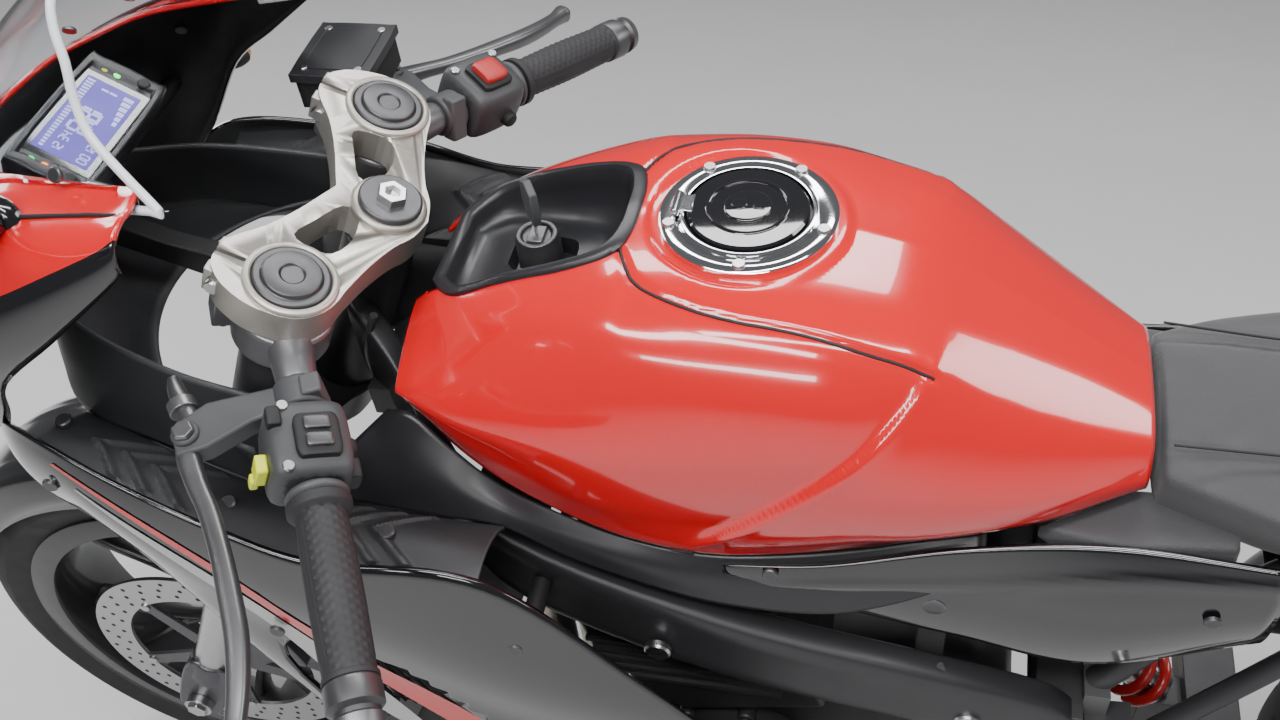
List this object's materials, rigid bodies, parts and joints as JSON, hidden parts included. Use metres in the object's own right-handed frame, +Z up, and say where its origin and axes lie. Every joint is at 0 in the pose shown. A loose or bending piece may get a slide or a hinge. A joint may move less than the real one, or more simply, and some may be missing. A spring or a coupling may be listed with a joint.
{
  "type": "sport motorcycle",
  "caption": "Faired sport motorcycle leaning on its side stand, with turning wheels, steering, swinging stand and hinged filler lid.",
  "frame": {"origin": "on the floor under the middle of the parked, leaning machine", "axes": "+X forward, +Y to the machine's left, +Z up; the machine leans 11 degrees towards +Y"},
  "size_m": [1.9716, 0.8238, 1.1604],
  "materials": {
    "frame_paint": "satin dark grey",
    "swingarm_paint": "satin",
    "steel": "satin",
    "spring_paint": "gloss",
    "engine_metal": "satin",
    "black_metal": "satin",
    "steel_pipe": "satin",
    "chain_steel": "oiled",
    "caliper_paint": "satin",
    "satin_metal": "satin",
    "red_paint": "gloss",
    "dark_plastic": "satin",
    "chrome_ring": "polished",
    "seat_cover": "matt",
    "black_paint": "gloss",
    "clear_lens": "clear",
    "screen": "clear",
    "fork_metal": "satin",
    "clamp_metal": "satin",
    "bar_metal": "satin",
    "grip_rubber": "matt",
    "lever_metal": "satin",
    "rim_paint": "satin",
    "tyre": "matt",
    "disc_steel": "brushed",
    "lid_metal": "gloss"
  },
  "bodies": {
    "chassis": {"frame": "frame_paint", "subframe": "frame_paint", "body_mounts": "black_metal", "swingarm": "swingarm_paint", "rear_pins": "steel", "rear_shock": "spring_paint", "engine": "engine_metal", "radiator": "black_metal", "exhaust": "steel_pipe", "chain": "chain_steel", "rear_caliper": "caliper_paint", "foot_controls": "satin_metal", "fuel_tank": "red_paint", "tank_trim": "dark_plastic", "ignition_lock": "satin_metal", "filler_ring": "chrome_ring", "seats": "seat_cover", "tail_cowl": "black_paint", "rear_mudguard": "dark_plastic", "nose_fairing": "red_paint", "lamps": "clear_lens", "windscreen": "screen", "instrument_panel": "dark_plastic", "inner_panels": "dark_plastic", "fairings": "black_paint", "mirrors": "dark_plastic"},
    "steering": {"forks": "fork_metal", "top_clamp": "clamp_metal", "lower_clamp": "black_metal", "clip_ons": "bar_metal", "grips": "grip_rubber", "switch_pods": "dark_plastic", "levers": "lever_metal", "brake_reservoir": "dark_plastic", "front_mudguard": "black_paint", "front_caliper": "caliper_paint", "front_axle": "steel"},
    "front_wheel": {"front_rim": "rim_paint", "front_tyre": "tyre", "front_disc": "disc_steel"},
    "rear_wheel": {"rear_rim": "rim_paint", "rear_tyre": "tyre", "rear_disc": "disc_steel", "rear_sprocket": "chain_steel"},
    "side_stand": {"side_stand": "black_metal"},
    "filler_lid": {"filler_lid": "lid_metal"}
  },
  "joints": [
    {"name": "steering", "type": "hinge", "parent": "chassis", "child": "steering", "pos_m": [0.36662, -0.00119, 0.8938], "axis": [-0.4226, 0.1729, 0.8897], "range_deg": [-26, 26]},
    {"name": "front_wheel_spin", "type": "hinge", "parent": "steering", "child": "front_wheel", "pos_m": [0.69382, -0.11882, 0.28865], "axis": [0, 0.9816, -0.1908], "continuous": true},
    {"name": "rear_wheel_spin", "type": "hinge", "parent": "chassis", "child": "rear_wheel", "pos_m": [-0.68118, -0.11627, 0.30177], "axis": [0, 0.9816, -0.1908], "continuous": true},
    {"name": "side_stand_swing", "type": "hinge", "parent": "chassis", "child": "side_stand", "pos_m": [-0.03368, -0.0089, 0.2357], "axis": [0.1846, 0.9049, 0.3834], "range_deg": [0, 92]},
    {"name": "filler_lid_hinge", "type": "hinge", "parent": "chassis", "child": "filler_lid", "pos_m": [0.14632, 0.00273, 0.91394], "axis": [0, 0.9816, -0.1908], "range_deg": [0, 100]}
  ]
}
